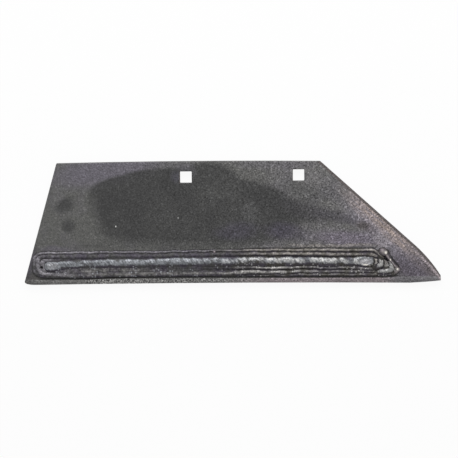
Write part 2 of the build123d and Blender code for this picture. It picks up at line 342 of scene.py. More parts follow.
def millScale():
    # hot-rolled steel under mill scale: dull dark grey with a fine grain, an oil stain, violet heat tints,
    # a pink-brown ground nose and a brighter land along the cutting edge
    look, span = plateLook, plateLook["spans"]
    material, tree = newMaterial("millScaleSteel")
    add = partial(addNode, tree)
    place = ownPlace(tree)
    x, y = add("ShaderNodeSeparateXYZ", [place]).outputs[:2]
    facing = add("ShaderNodeSeparateXYZ", [add("ShaderNodeNewGeometry").outputs["Normal"]]).outputs
    noise = {key: add("ShaderNodeTexNoise", {"Vector": place, "Scale": 1 / size, "Detail": detail,
                                             "Roughness": rough})
             for key, (size, detail, rough) in look["noise"].items()}

    # places wander a little, so that no colour ends on a clean line
    drift = add("ShaderNodeVectorMath", [noise["wander"].outputs["Color"], noiseMean], operation="SUBTRACT")
    drift = add("ShaderNodeVectorMath", [drift, (look["drift"], look["drift"], 0)], operation="MULTIPLY")
    soft = add("ShaderNodeVectorMath", [place, drift], operation="ADD")
    softX, softY = add("ShaderNodeSeparateXYZ", [soft]).outputs[:2]

    noseward = add("ShaderNodeMapRange", [softX, *span["noseward"]], **eased)
    violet = add("ShaderNodeMapRange", [noise["cloud"], *span["violet"]])
    plain = layCoats(tree, linear(look["greyWing"]), [(noseward, look["greyNose"]), (violet, look["violet"])])
    colour = layPatches(tree, soft, plain, look["tints"])

    # the oil stain lies between two drawn lines, whose edges wander less
    calm = add("ShaderNodeVectorMath", [drift, (*look["calmDrift"], 0), place], operation="MULTIPLY_ADD")
    calmX, calmY = add("ShaderNodeSeparateXYZ", [calm]).outputs[:2]
    top, bottom = [handLine(tree, calmX, look[key], *look["stainReach"]) for key in ("stainTop", "stainBottom")]
    below = add("ShaderNodeMath", [top, calmY], operation="SUBTRACT")
    above = add("ShaderNodeMath", [calmY, bottom], operation="SUBTRACT")
    fade = add("ShaderNodeMapRange", [calmX, *span["stainFade"]])
    slant = add("ShaderNodeMath", [softY, look["stainSlope"], softX], operation="MULTIPLY_ADD")
    stain = add("ShaderNodeMapRange", [noise["cloud"], *span["stainWorn"]])
    for value, edges in ((below, (look["stainBelow"], fade)), (above, span["stainAbove"]),
                         (slant, span["stainSide"])):
        share = add("ShaderNodeMapRange", [value, *edges], **eased)
        stain = add("ShaderNodeMath", [stain, share], operation="MULTIPLY")
    colour = layCoats(tree, colour, [(stain, look["stain"])])
    colour = layPatches(tree, soft, colour, look["patches"])

    # the nose: s runs in from the slanted edge, t along it, and rim in from where the edge turns down
    angle = math.radians(look["noseAngle"])
    corner = Vector((*look["noseCorner"], 0))
    inward = Vector((-math.sin(angle), -math.cos(angle), 0))
    down = Vector((math.cos(angle), -math.sin(angle), 0))
    fromCorner = add("ShaderNodeVectorMath", [soft, corner], operation="SUBTRACT")
    s, t = [add("ShaderNodeVectorMath", [fromCorner, axis], operation="DOT_PRODUCT").outputs["Value"]
            for axis in (inward, down)]
    turnedAbout = corner + look["noseBend"] * down + look["noseRadius"] * inward
    rim = add("ShaderNodeVectorMath", [place, turnedAbout], operation="DISTANCE").outputs["Value"]
    rim = add("ShaderNodeMath", [look["noseRadius"], rim], operation="SUBTRACT")

    rise, fall, haze, glow = [
        add("ShaderNodeMapRange", [value, *span[key]], **eased)
        for value, key in ((t, "noseRise"), (t, "noseFall"), (s, "noseHaze"), (s, "noseGlow"))]
    lines = add("ShaderNodeCombineXYZ", [add("ShaderNodeMath", [value, size], operation="DIVIDE")
                                         for value, size in zip((s, t), look["noseStreak"])])
    streak = add("ShaderNodeTexNoise", {"Vector": lines, "Scale": 1.0, "Detail": 3.0})
    streak = add("ShaderNodeMapRange", [streak, *span["noseStreak"]])
    along = add("ShaderNodeMath", [rise, fall], operation="MULTIPLY")
    haze = add("ShaderNodeMath", [haze, along], operation="MULTIPLY")
    for share in (along, streak):
        glow = add("ShaderNodeMath", [glow, share], operation="MULTIPLY")
    colour = layCoats(tree, colour, [(haze, look["noseHaze"]), (glow, look["noseGlow"])])
    colour = layPatches(tree, soft, colour, look["marks"])

    # the land along the cutting edge, with fine lines drawn along it
    pinker, greyer = [add("ShaderNodeMapRange", [softX, *span[key]]) for key in ("landPinker", "landGreyer")]
    landColour = layCoats(tree, linear(look["landWing"]),
                          [(pinker, look["landNose"]), (greyer, look["landTip"])])
    land, lit = [add("ShaderNodeMapRange", [y, *span[key]]) for key in ("land", "landLit")]
    drawn = add("ShaderNodeMapping", {0: place, 3: (*look["landLines"], through)}, vector_type="TEXTURE")
    drawn = add("ShaderNodeTexNoise", {"Vector": drawn, "Scale": 1.0, "Detail": 2.0})
    drawn = add("ShaderNodeMapRange", [drawn, *span["landDrawn"]])
    lit = add("ShaderNodeMath", [lit, drawn], operation="ADD")
    landLight = handLine(tree, softX, look["landLight"], *look["landLightReach"])
    lit = add("ShaderNodeMath", [lit, landLight], operation="MULTIPLY")
    landColour = add("ShaderNodeVectorMath", {0: landColour, "Scale": lit}, operation="SCALE")
    coats = [(land, landColour)]

    # soot beside the deposit, with painted shadow under its lower toe, fading out at both ends of each line
    for half, strength, points in look["sootShadeLines"]:
        line = handLine(tree, x, points, *look["sootShadeReach"])
        off = add("ShaderNodeMath", [y, line], operation="SUBTRACT")
        off = add("ShaderNodeMath", [off], operation="ABSOLUTE")
        edges = [half * share for share in look["sootShadeEdge"]]
        sootAndShade = add("ShaderNodeMapRange", [off, *edges, 0, strength])
        for end, past in ((points[0][0], look["sootShadeFade"]), (points[-1][0], -look["sootShadeFade"])):
            share = add("ShaderNodeMapRange", [softX, end - past, end + past])
            sootAndShade = add("ShaderNodeMath", [sootAndShade, share], operation="MULTIPLY")
        coats.append((sootAndShade, look["sootShadeColour"]))

    # the dark bevel at the nose, and inside it a light line by the tip, a painted highlight along the edge
    outward = add("ShaderNodeMapRange", [facing[0], *span["bevelOutward"]])
    leaning = add("ShaderNodeMapRange", [facing[2], *span["bevelLeaning"]])
    bevel = add("ShaderNodeMath", [outward, leaning], operation="MULTIPLY")
    inset = add("ShaderNodeMapRange", [t, *span["tipHighlightInset"]])
    tipEdgeHighlight = add("ShaderNodeMath", [rim, inset], operation="SUBTRACT")
    tipEdgeHighlight = add("ShaderNodeMath", [tipEdgeHighlight], operation="ABSOLUTE")
    tipEdgeHighlight = add("ShaderNodeMapRange", [tipEdgeHighlight, *span["tipHighlightWidth"]])
    tipHighlight = add("ShaderNodeMapRange", [t, *span["tipHighlightStart"]])
    tipHighlight = add("ShaderNodeMath", [tipHighlight, tipEdgeHighlight], operation="MULTIPLY")
    colour = layCoats(tree, colour, [*coats, (bevel, look["bevel"]), (tipHighlight, look["tipEdgeHighlight"])])

    # the back is plain scale, and the cut sides are a little darker
    upward, downward = [add("ShaderNodeMapRange", [facing[2], *span[key]]) for key in ("upward", "downward")]
    colour = layCoats(tree, linear(look["cut"]), [(downward, plain), (upward, colour)])

    # grain: light and dark points, stronger towards the nose and on the land
    strong, onLand, begin = [
        add("ShaderNodeMapRange", [softX, *span[key]]) for key in ("grainPlate", "grainLand", "grainLandStart")]
    onLand = add("ShaderNodeMath", [onLand, begin], operation="MULTIPLY")
    strong = add("ShaderNodeMix", {0: land, 2: strong, 3: onLand})
    level = add("ShaderNodeMath", [noise["grain"], 0.5], operation="SUBTRACT")
    level = add("ShaderNodeMath", [level, strong, 1.0], operation="MULTIPLY_ADD")
    fleck = add("ShaderNodeTexVoronoi", {"Vector": place, "Scale": 1 / look["fleck"]})
    fleck = add("ShaderNodeSeparateXYZ", [fleck.outputs["Color"]])
    fleck = add("ShaderNodeMapRange", [fleck, *span["fleck"]])
    level = add("ShaderNodeMath", [fleck, strong, level], operation="MULTIPLY_ADD")
    colour = add("ShaderNodeVectorMath", {0: colour, "Scale": level}, operation="SCALE")

    bump = add("ShaderNodeBump", {"Height": noise["grain"], **look["bump"]})
    shader = add("ShaderNodeBsdfPrincipled", {"Base Color": colour, "Normal": bump, **look["finish"]})
    add("ShaderNodeOutputMaterial", {"Surface": shader})
    return material


# Deposit: each run is a line of points, given as x, y, half width and height in mm, and how bright it froze
weldRuns = {
    "outer": {"bend": 11.0, "lumps": 0.35, "points": [
        (172.2, -102.4, 2.1, 1.5, 0.3), (162.6, -92.5, 2.6, 1.9, 0.5), (110, -91.9, 2.6, 1.9, 0.55),
        (60, -91.5, 2.4, 2.0, 0.5), (20, -91.4, 2.3, 1.6, 0.5), (-20, -91.5, 2.2, 1.5, 0.4),
        (-120, -92.2, 1.9, 1.4, 0.7), (-236, -92.7, 2.1, 1.4, 0.9), (-252.2, -93.3, 2.3, 1.3, 0.75),
        (-255.9, -97.4, 2.5, 1.3, 0.75),
        (-258.0, -115.0, 2.4, 1.3, 0.45), (-252.4, -121.2, 2.4, 1.3, 0.15), (-200, -121.9, 3.2, 1.6, 0.6),
        (-130, -120.8, 3.2, 1.6, 0.65), (-20, -121.3, 3.0, 1.7, 0.6), (40, -121.9, 2.8, 1.8, 0.35),
        (110, -122.2, 2.9, 2.0, 0.38), (152, -122.3, 2.7, 1.8, 0.35), (186, -122.6, 2.4, 1.4, 0.35)]},
    "second": {"bend": 7.5, "lumps": 0.4, "points": [
        (167.8, -102.8, 2.2, 1.9, 0.4), (159.5, -98.0, 2.8, 2.5, 0.4), (110, -97.5, 3.0, 2.7, 0.45),
        (60, -96.2, 2.7, 2.8, 0.45), (12, -96.3, 2.9, 2.6, 0.35), (-20, -96.6, 2.9, 2.6, 0.05),
        (-120, -97.4, 3.4, 2.7, 0.1), (-210, -97.6, 3.4, 2.6, 0.12),
        (-248.6, -97.2, 2.9, 1.9, 0.4), (-252.4, -100.8, 2.9, 1.8, 0.75), (-252.8, -109.0, 2.8, 1.8, 0.75),
        (-251.4, -116.0, 2.8, 1.8, 0.75), (-245.5, -119.2, 2.8, 1.9, 0.7), (-222, -119.8, 3.9, 2.3, 0.8),
        (-200, -120.2, 4.5, 2.5, 0.48), (-130, -119.3, 4.5, 2.6, 0.6), (-80, -119.6, 4.5, 2.6, 0.52),
        (-20, -119.8, 4.2, 2.7, 0.52), (40, -118.6, 2.7, 2.7, 0.55), (100, -118.5, 2.6, 2.6, 0.28),
        (161, -118.8, 2.6, 2.0, 0.35)]},
    "inner": {"bend": 3.6, "lumps": 0.6, "points": [
        (160, -116.4, 2.4, 2.2, 0.35), (130, -113.6, 2.5, 2.7, 0.3), (60, -113.2, 2.5, 3.1, 0.55),
        (27, -112.8, 2.7, 2.9, 0.95), (0, -112.7, 2.8, 2.6, 0.35), (-100, -111.9, 3.4, 2.0, 0.35),
        (-200, -113.0, 3.2, 2.0, 0.5), (-246.8, -114.4, 2.9, 1.5, 0.9), (-247.2, -102.4, 2.9, 1.5, 0.9),
        (-225, -100.8, 2.4, 1.7, 0.3), (-203, -99.8, 2.0, 1.6, 0.25)]},
    "crown": {"bend": 20.0, "lumps": 1.0, "points": [
        (-238.5, -109.6, 7.0, 3.4, 1.15), (-228, -109.4, 7.0, 3.4, 1.1), (-216, -107.5, 6.4, 3.4, 0.85),
        (-203, -106.3, 6.4, 3.5, 0.85), (-176, -106.6, 6.6, 3.6, 0.9), (-136, -106.4, 6.6, 3.6, 0.95),
        (-97, -105.8, 6.6, 3.6, 1.0), (-57, -105.4, 6.6, 3.6, 0.9), (-18, -105.6, 6.4, 3.6, 0.6),
        (2, -105.8, 6.4, 3.6, 0.55), (21, -105.6, 6.6, 3.6, 0.66), (60, -105.8, 6.5, 3.6, 0.65),
        (80, -106.0, 6.4, 3.6, 0.75), (100, -106.8, 6.4, 3.6, 0.7), (120, -106.6, 6.2, 3.6, 0.65),
        (139, -106.8, 6.0, 3.5, 0.95), (155.4, -106.8, 7.6, 3.5, 1.0)]},
    "crust": {"bend": 5.0, "lumps": 0.5, "points": [
        (-228, -115.0, 7.0, 1.9, 0.6), (-205, -113.6, 9.0, 2.3, 0.65), (-130, -113.0, 9.5, 2.3, 0.55),
        (-88, -113.0, 9.2, 2.3, 0.2), (-60, -113.0, 9.0, 2.3, 0.35), (-15, -113.6, 6.0, 1.8, 0.3)]},
    "filler": {"bend": 2.0, "lumps": 0.3, "points": [
        (162.5, -112.5, 4.5, 1.9, 0.95), (164, -102.5, 5.0, 1.9, 0.8), (177, -112, 6.0, 1.7, 0.6)]},
    "firstPool": {"bend": 3.0, "lumps": 0.8, "points": [
        (168.2, -105.4, 3.6, 2.7, 0.95), (170.6, -108.4, 4.6, 3.1, 1.1), (169.4, -111.6, 4.4, 3.0, 1.0),
        (162.5, -113.8, 4.2, 2.5, 0.45)]},
    "secondPool": {"bend": 3.0, "lumps": 0.8, "points": [
        (181.2, -107.6, 2.8, 2.3, 0.9), (183.2, -112.0, 3.8, 2.7, 1.1), (182.0, -117.2, 4.6, 2.7, 1.0),
        (174.5, -119.0, 4.2, 2.6, 1.05), (167.5, -119.8, 3.0, 2.3, 0.9)]},
    "ball": {"bend": 0.0, "lumps": 0.1, "points": [
        (171.8, -94.2, 4.9, 3.3, 0.66), (174.6, -95.6, 4.8, 3.3, 0.66)]},
    "finger": {"bend": 6.0, "lumps": 0.1, "points": [
        (176.2, -97.2, 2.8, 3.3, 0.6), (179.4, -102.4, 1.9, 2.6, 0.6), (186.4, -111.2, 1.9, 2.6, 0.6),
        (189.8, -115.4, 2.7, 2.9, 0.6)]},
    "blob": {"bend": 0.0, "lumps": 0.1, "points": [
        (188.6, -113.8, 2.8, 2.7, 0.6), (190.6, -117.2, 4.0, 2.9, 0.62), (188.0, -120.4, 3.0, 2.0, 0.4)]},
    "spatter": {"bend": 0.0, "lumps": 0.1, "points": [
        (-35.4, -93.1, 1.7, 2.9, 0.8), (-34.8, -93.1, 1.7, 2.9, 0.8)]},
}

weldForm = {
    # number inputs of the node tree, in mm
    "inputs": {
        "Step": 0.55,  # between the deposit's points
        "Ripple": 3.4,  # from one weld ripple to the next
        "Ripple Depth": 0.14,
        "Lump": 6.5,
        "Lump Depth": 2.2,
        "Wobble": 4.2,  # that the runs wander sideways
        "Wobble Length": 18.0,
        "Bury": 0.6,  # that the toe goes into the plate, as fusion does
    },
    "lineStep": 0.4,  # mm between the points of a run's line
    "bendPoints": 10,  # round each bend of a run
    "calmNose": (150.0, 168.0, 1.0, 0.15),  # from and to in x, and the share of the wobble there
    "creaseDepth": 1.5,  # mm that one bead stands over the next where their crease ends
    "noBead": -9.0,  # mm, height where no run has been yet
    # crater middle, half size and depth, where the crown starts and stops
    "craters": [((151.0, -106.5), (11.5, 6.6), 1.1), ((-235, -108.5), (11.5, 6.0), 0.7)],
    "craterEdge": (0.95, 0.35),  # how far out the dish starts, and where it is full
}


def runLines():
    # the runs' corner points as one wire mesh, with their sizes as point values
    mesh = bpy.data.meshes.new("weldRunLines")
    places, edges = [], []
    values = {"run": [], "bend": [], "lumps": [], "halfWidth": [], "bead": [], "shine": []}
    for number, run in enumerate(weldRuns.values()):
        for n, (x, y, halfWidth, bead, shine) in enumerate(run["points"]):
            if n:
                edges.append((len(places) - 1, len(places)))
            places.append((x, y, 0.0))
            for key, value in zip(values, (number, run["bend"], run["lumps"], halfWidth, bead, shine)):
                values[key].append(value)
    mesh.from_pydata(places, edges, [])
    for key, column in values.items():
        mesh.attributes.new(key, "FLOAT", "POINT").data.foreach_set("value", column)
    return mesh


def weldTree(material):
    # heights of all runs over one grid: the highest bead wins, and the runner-up tells where two beads meet
    form = weldForm
    tree = bpy.data.node_groups.new("weldDeposit", "GeometryNodeTree")
    numbers = ("Left", "Low", "Length", "Width", "Plate Top", *form["inputs"])
    for kind, names in (("Geometry", ["Runs"]), ("Float", numbers), ("Int", ["Run Count"])):
        for name in names:
            tree.interface.new_socket(name, in_out="INPUT", socket_type="NodeSocket" + kind)
    tree.interface.new_socket("Deposit", in_out="OUTPUT", socket_type="NodeSocketGeometry")
    add = partial(addNode, tree)
    given = add("NodeGroupInput").outputs
    named = {key: add("GeometryNodeInputNamedAttribute", {"Name": key})
             for key in ("run", "bend", "lumps", "halfWidth", "bead", "shine", "along", "height", "second",
                         "ridge", "side")}

    # the runs as fine lines, with the length along each
    lines = add("GeometryNodeMeshToCurve", {"Mesh": given["Runs"]})
    lines = add("GeometryNodeFilletCurve", {"Curve": lines, "Radius": named["bend"], "Limit Radius": True,
                                            "Count": form["bendPoints"]}, mode="POLY")
    lines = add("GeometryNodeResampleCurve", {"Curve": lines, "Length": form["lineStep"]}, mode="LENGTH")
    length = add("GeometryNodeSplineParameter").outputs["Length"]
    lines = add("GeometryNodeStoreNamedAttribute", {"Geometry": lines, "Name": "along", "Value": length})
    lines = add("GeometryNodeCurveToMesh", {"Curve": lines})

    # the grid that becomes the deposit's skin
    across = add("ShaderNodeMath", [given["Length"], given["Step"]], operation="DIVIDE")
    up = add("ShaderNodeMath", [given["Width"], given["Step"]], operation="DIVIDE")
    skin = add("GeometryNodeMeshGrid", {"Size X": given["Length"], "Size Y": given["Width"],
                                        "Vertices X": across, "Vertices Y": up})
    middle = [add("ShaderNodeMath", [given[size], 0.5, given[start]], operation="MULTIPLY_ADD")
              for size, start in (("Length", "Left"), ("Width", "Low"))]
    middle = add("ShaderNodeCombineXYZ", middle)
    skin = add("GeometryNodeTransform", {"Geometry": skin, "Translation": middle})
    for name in ("height", "second", "shine", "ridge", "lumps", "side"):
        start = form["noBead"] if name == "height" else 0.0
        skin = add("GeometryNodeStoreNamedAttribute", {"Geometry": skin, "Name": name, "Value": start})

    # where each point looks for its run: wandered a little sideways
    here = add("GeometryNodeInputPosition")
    often = add("ShaderNodeMath", [1.0, given["Wobble Length"]], operation="DIVIDE")
    sway = add("ShaderNodeTexNoise", {"Vector": here, "Scale": often, "Detail": 4.0, "Roughness": 0.55})
    sway = add("ShaderNodeVectorMath", [sway.outputs["Color"], noiseMean], operation="SUBTRACT")
    x = add("ShaderNodeSeparateXYZ", [here])
    calm = add("ShaderNodeMapRange", [x, *form["calmNose"]])
    reach = add("ShaderNodeMath", [given["Wobble"], calm], operation="MULTIPLY")
    reach = add("ShaderNodeCombineXYZ", [reach, reach])
    spot = add("ShaderNodeVectorMath", [sway, reach, here], operation="MULTIPLY_ADD")

    # one turn for each run
    begin = add("GeometryNodeRepeatInput", {"Iterations": given["Run Count"]})
    end = add("GeometryNodeRepeatOutput")
    begin.pair_with_output(end)
    tree.links.new(skin.outputs[0], begin.inputs["Geometry"])
    skin = begin.outputs["Geometry"]
    mine = add("ShaderNodeMath", [named["run"], begin.outputs["Iteration"], 0.1], operation="COMPARE")
    line = add("GeometryNodeSeparateGeometry", {"Geometry": lines, "Selection": mine})
    near = add("GeometryNodeProximity", {0: line, "Sample Position": spot}, target_element="EDGES")
    near = near.outputs["Distance"]
    nearest = add("GeometryNodeSampleNearest", {"Geometry": line, "Sample Position": spot})
    own = {key: add("GeometryNodeSampleIndex", {"Geometry": line, "Value": named[key], "Index": nearest})
           for key in ("halfWidth", "bead", "shine", "along", "lumps")}

    # which flank of the run: +1 towards the bolted edge, -1 towards the cutting edge
    foot = add("GeometryNodeSampleIndex", {"Geometry": line, "Value": here, "Index": nearest},
               data_type="FLOAT_VECTOR")
    aside = add("ShaderNodeVectorMath", [spot, foot], operation="SUBTRACT")
    aside = add("ShaderNodeSeparateXYZ", [aside]).outputs[1]
    side = add("ShaderNodeMath", [aside, own["halfWidth"]], operation="DIVIDE")

    # a round-backed bead, its ripples lagging towards the toes, falling away past its edge
    out = add("ShaderNodeMath", [near, own["halfWidth"]], operation="DIVIDE")
    square = add("ShaderNodeMath", [out, out], operation="MULTIPLY")
    body = add("ShaderNodeMath", [1.0, square], operation="SUBTRACT", use_clamp=True)
    body = add("ShaderNodeMath", [body], operation="SQRT")
    lag = add("ShaderNodeMath", [square, own["halfWidth"], own["along"]], operation="MULTIPLY_ADD")
    phase = add("ShaderNodeMath", [lag, given["Ripple"]], operation="DIVIDE")
    phase = add("ShaderNodeMath", [phase, math.tau], operation="MULTIPLY")
    wave = add("ShaderNodeMath", [phase], operation="SINE")
    wave = add("ShaderNodeMath", [wave, given["Ripple Depth"]], operation="MULTIPLY")
    wave = add("ShaderNodeMath", [wave, own["lumps"], own["bead"]], operation="MULTIPLY_ADD")
    past = add("ShaderNodeMath", [near, own["halfWidth"]], operation="SUBTRACT")
    past = add("ShaderNodeMath", [past, 0.0], operation="MAXIMUM")
    bead = add("ShaderNodeMath", [body, wave], operation="MULTIPLY")
    bead = add("ShaderNodeMath", [bead, past], operation="SUBTRACT")

    better = add("ShaderNodeMath", [bead, named["height"]], operation="GREATER_THAN")
    lower = add("ShaderNodeMath", [named["height"], bead], operation="MINIMUM")
    second = add("ShaderNodeMath", [named["second"], lower], operation="MAXIMUM")
    skin = add("GeometryNodeStoreNamedAttribute", {"Geometry": skin, "Name": "second", "Value": second})
    for key, value in (("shine", own["shine"]), ("lumps", own["lumps"]), ("ridge", body), ("side", side),
                       ("height", bead)):
        chosen = add("ShaderNodeMix", {0: better, 2: named[key], 3: value})
        skin = add("GeometryNodeStoreNamedAttribute", {"Geometry": skin, "Name": key, "Value": chosen})
    tree.links.new(skin.outputs[0], end.inputs["Geometry"])
    skin = end.outputs["Geometry"]

    # where two beads meet, or a bead meets the plate, is a crease
    apart = add("ShaderNodeMath", [named["height"], named["second"]], operation="SUBTRACT")
    crease = add("ShaderNodeMapRange", [apart, 0, form["creaseDepth"], 1, 0])
    skin = add("GeometryNodeStoreNamedAttribute", {"Geometry": skin, "Name": "crease", "Value": crease})

    # lumps on the backs of the runs, and the two craters
    fine = add("ShaderNodeMath", [1.0, given["Lump"]], operation="DIVIDE")
    lump = add("ShaderNodeTexNoise", {"Vector": here, "Scale": fine, "Detail": 3.0})
    lump = add("ShaderNodeMath", [lump, 0.5], operation="SUBTRACT")
    for share in (given["Lump Depth"], named["lumps"]):
        lump = add("ShaderNodeMath", [lump, share], operation="MULTIPLY")
    raised = add("ShaderNodeMath", [lump, named["ridge"], named["height"]], operation="MULTIPLY_ADD")
    hollow = 0.0
    for centre, size, depth in form["craters"]:
        dish = add("ShaderNodeVectorMath", [here, (*centre, 0)], operation="SUBTRACT")
        dish = add("ShaderNodeVectorMath", [dish, (*size, 1)], operation="DIVIDE")
        dish = add("ShaderNodeVectorMath", [dish], operation="LENGTH").outputs["Value"]
        dish = add("ShaderNodeMapRange", [dish, *form["craterEdge"]], **eased)
        raised = add("ShaderNodeMath", [dish, -depth, raised], operation="MULTIPLY_ADD")
        hollow = add("ShaderNodeMath", [hollow, dish], operation="MAXIMUM")
    skin = add("GeometryNodeStoreNamedAttribute", {"Geometry": skin, "Name": "hollow", "Value": hollow})

    # the grid is cut away where no bead reaches, and the rest is lifted onto the plate
    deep = add("ShaderNodeMath", [given["Bury"], -1.0], operation="MULTIPLY")
    raised = add("ShaderNodeMath", [raised, deep], operation="MAXIMUM")
    raised = add("ShaderNodeMath", [raised, given["Plate Top"]], operation="ADD")
    gone = add("ShaderNodeMath", [named["height"], deep], operation="LESS_THAN")
    skin = add("GeometryNodeDeleteGeometry", {"Geometry": skin, "Selection": gone})
    lift = add("ShaderNodeCombineXYZ", {2: raised})
    skin = add("GeometryNodeSetPosition", {"Geometry": skin, "Offset": lift})
    metres = add("GeometryNodeTransform", {"Geometry": skin, "Scale": (mm, mm, mm)})
    whole = add("GeometryNodeRealizeInstances", {"Geometry": metres})
    finished = add("GeometryNodeSetMaterial", {"Geometry": whole, "Material": material})
    add("NodeGroupOutput", {"Deposit": finished})
    return tree


def bakePiece(holder, name):
    # the evaluated result as a plain mesh of its own
    depsgraph = bpy.context.evaluated_depsgraph_get()
    mesh = bpy.data.meshes.new_from_object(holder.evaluated_get(depsgraph))
    mesh.name = name
    for modifier in list(holder.modifiers):
        holder.modifiers.remove(modifier)
    bpy.data.objects.remove(holder)
    piece = bpy.data.objects.new(name, mesh)
    bpy.context.collection.objects.link(piece)
    return piece


weldLook = {
    "oxideWing": "#4a494a",
    "oxideNose": "#423f3b",
    "oxideTint": "#45404c",  # violet heat tint, in patches
    "metalWing": "#88858b",
    "metalNose": "#a49f98",
    "metalLow": "#9b9996",  # the runs by the cutting edge
    "lastRun": "#8f868b",  # the smooth ball, finger and drop by the nose
    # painted highlight along the crest of the smooth last run
    "lastRidgeHighlight": "#aaa3a1",
    "silver": "#6f7276",  # the crown between its strokes and blobs
    "silverLight": "#c8c7c5",
    "silverWing": "#acafb5",
    "glow": "#f2ede2",
    # soot, deepened by painted shade in the creases and in a hole, and painted shadow under the lower toe
    "sootShadeColour": "#121112",
    "crater": "#cac8cb",
    # size in mm, detail and roughness
    "noise": {"blotch": (6.0, 4.0, 0.65), "glint": (2.2, 3.0, 0.6), "tint": (12.0, 3.0, 0.5),
              "patch": (15.0, 2.0, 0.5), "grit": (1.6, 2.0, 0.7), "crust": (2.8, 3.0, 0.75),
              "swarm": (16.0, 1.0, 0.5)},
    "bump": {"Strength": 0.3, "Distance": 0.9 * mm},
    "dot": 2.8,  # mm from one droplet to the next
    "dotChance": 0.76,  # a cell that draws more than this holds a droplet
    "stroke": (7.0, 2.1),  # length and width of the slanting strokes on the crown
    "strokeTurn": -50.0,
    "ragged": (7.0, 7.0),  # mm that the blobs' edges wander
    # how light the crown's metal is and how far it lies bare, by strokes, glints and blobs
    "lightStart": -0.62,
    "crownLight": {"stroke": 1.5, "glint": 1.45, "blob": 0.46},
    "bareStart": -0.1,
    "crownBare": {"stroke": 1.1, "blob": 0.4},
    # more bare metal along each run's ridge, partly a painted highlight
    "ridgeBareAndSheen": 0.4,
    "hollowBare": 1.5,
    "crustLevel": 1.05,
    # blobs that the crown and the pools froze in, painted lighter and partly painted highlights: middle, half
    # size, turn
    "blobs": [
        ((-244.4, -106.7), (2.4, 2.0), 0), ((-229.6, -105.2), (2.6, 1.8), 0), ((-241, -113.7), (4.5, 1.5), -5),
        ((-226.5, -110.2), (2.2, 2.8), 0),
        ((-179, -101.2), (2.2, 1.8), 0), ((-172, -105.0), (4.0, 2.0), 0),
        ((-203, -108.6), (7.0, 2.6), 0), ((-157, -106.2), (6.0, 3.2), -10), ((-139, -103.6), (5.5, 2.6), -25),
        ((-114, -102.8), (5.0, 2.4), 0),
        ((-101, -103.8), (5.0, 3.0), -15), ((-93, -101.3), (2.2, 1.8), 0), ((-83, -103.4), (5.0, 2.2), 15),
        ((-69, -102.6), (5.0, 2.6), 0), ((-56, -102.8), (6.0, 2.8), -30), ((-47, -101.4), (4.0, 2.4), 0),
        ((-34, -100.9), (3.0, 2.0), 0), ((-20, -104.6), (6.0, 2.6), 0),
        ((1, -103.4), (5.0, 4.0), 0), ((11, -101.6), (5.0, 2.4), 0), ((21, -101.4), (6.0, 2.3), 0),
        ((32, -101.5), (5.5, 2.3), -10), ((43, -103.6), (5.0, 4.0), -40), ((56, -102.8), (8.5, 4.0), -10),
        ((70, -104.4), (5.5, 2.6), 0), ((88, -103.0), (5.0, 3.2), 0), ((96, -103.4), (4.0, 3.0), 0),
        ((105, -103.6), (5.5, 4.0), 0), ((112, -103.8), (5.5, 3.2), -30), ((124, -104.8), (6.5, 2.4), -30),
        ((140, -104.2), (4.5, 2.4), 25), ((139, -107.6), (4.0, 2.4), -20), ((149, -109.8), (4.5, 1.5), -15),
        ((170.2, -108.4), (3.6, 4.6), 20), ((183.4, -112.4), (2.6, 4.6), 15), ((178.6, -118.4), (6.5, 2.6), 8),
    ],
    # highlights on the ball, the drop, the finger and the crater: middle, half size
    "glows": [((175.8, -95.3), (1.6, 1.8)), ((190.2, -116.0), (1.4, 1.5)), ((181.6, -104.4), (0.9, 1.2)),
              ((150.8, -110.2), (3.4, 0.8))],
    "pitShade": ((-247.9, -110.1), (2.4, 2.0)),  # painted shade of a dark hole in the wing end
    # ranges: from, to, and what they turn into where that isn't 0 to 1
    "spans": {
        "noseward": (-70, 40), "tint": (0.42, 0.58, 0, 0.8),
        "lowRows": (-105, -110), "paler": (-225, -170, 0.1, 1),
        "blob": (1.4, 0.5), "glow": (1.4, 0.3), "pitShade": (1.2, 0.6),
        "crown": (0.62, 0.9), "smooth": (0.25, 0.15), "lastRidgeHighlight": (0.9, 1), "craterFilled": (0, 1, 0.3, 0.6),
        "uneven": (0.2, 1, 0.9, 2), "patch": (0.35, 0.6, -0.3, 0.2),
        "lined": (-60, 15, 0.3, 1), "upper": (-97, -95), "joined": (0, 1, 1, 0.2),
        # flank, fall and lip give painted shade: the lower flanks, the crown's lower flank and its upper lip
        "flank": (-0.1, -0.75, 0, 0.8), "fall": (-0.12, -0.5, 0, 0.9), "noCrater": (0, 0.6, 1, 0),
        "lip": (0.65, 0.95, 0, 0.5), "blunt": (0, 1, 2, 0.8), "bare": (0.45, 1.3),
        "grit": (0.3, 0.7, 0.7, 1.3), "crusted": (0, 1, 3.4, 1.2), "sleek": (0, 1, 1, 0.1),
        "swarm": (0.46, 0.56, 0.05, 1), "dot": (0.42, 0.18, 0, 0.75),
        # soot deepened by painted shade, and painted shadow under the lower toe
        "sootAndShade": (0.2, 0.75, 0, 0.95), "sootShadeThick": (0, 1, 0.6, 1), "sootShadeThin": (-109, -116, 1, 0.65),
        "sootShadeClean": (110, 160, 1, 0.5), "rim": (1.2, 0.4, 0, 0.6), "toe": (2, 1.4), "under": (-0.6, -0.85),
        "roughness": (0, 1, 0.6, 0.5), "metallic": (0, 1, 0.4, 0.6),
    },
}


